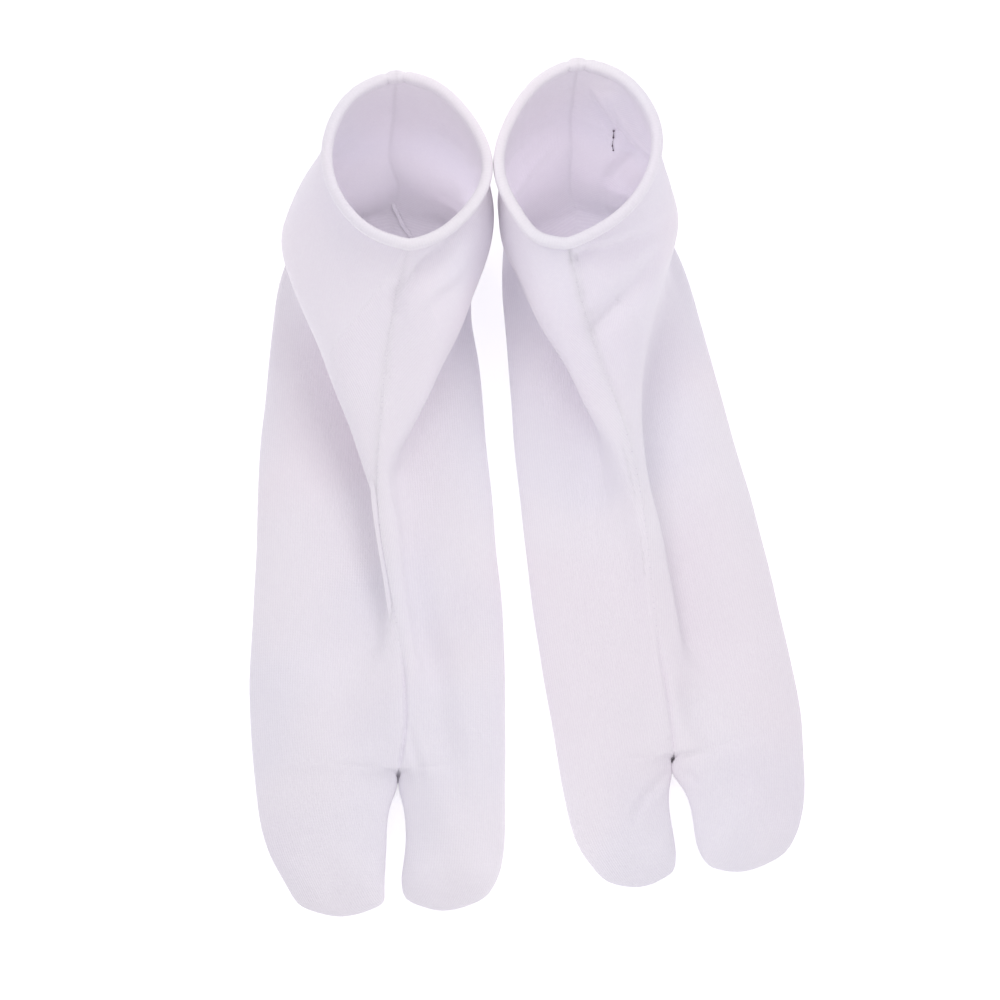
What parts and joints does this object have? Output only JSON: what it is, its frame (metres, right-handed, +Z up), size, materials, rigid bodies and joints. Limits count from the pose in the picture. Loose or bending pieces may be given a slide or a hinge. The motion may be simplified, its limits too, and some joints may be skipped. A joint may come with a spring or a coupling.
{
  "type": "pair of tabi socks",
  "caption": "Pair of low white stretch split-toe socks, standing empty on their soles with the leg openings up and the soft instep sunk into a long fold.",
  "frame": {"origin": "on the ground under the middle of the pair's bounding box", "axes": "+Z up, out of the leg openings; +Y from the toes towards the heels, along the right foot's sock; +X from the right foot's sock to the left foot's"},
  "size_m": [0.18, 0.2584, 0.0948],
  "materials": {
    "right_foot_upper_outer": "matte knitted cloth, white with a faint cool tint",
    "right_foot_upper_inner": "matte knitted cloth, white with a faint cool tint",
    "right_foot_hem": "matte knitted cloth, white with a faint cool tint",
    "right_foot_sole": "matte knitted cloth, white with a faint cool tint",
    "left_foot_upper_outer": "matte knitted cloth, white with a faint cool tint",
    "left_foot_upper_inner": "matte knitted cloth, white with a faint cool tint",
    "left_foot_hem": "matte knitted cloth, white with a faint cool tint",
    "left_foot_sole": "matte knitted cloth, white with a faint cool tint"
  },
  "bodies": {
    "root": {"right_foot_upper_outer": "right_foot_upper_outer", "right_foot_upper_inner": "right_foot_upper_inner", "right_foot_hem": "right_foot_hem", "right_foot_sole": "right_foot_sole", "left_foot_upper_outer": "left_foot_upper_outer", "left_foot_upper_inner": "left_foot_upper_inner", "left_foot_hem": "left_foot_hem", "left_foot_sole": "left_foot_sole"}
  },
  "joints": []
}
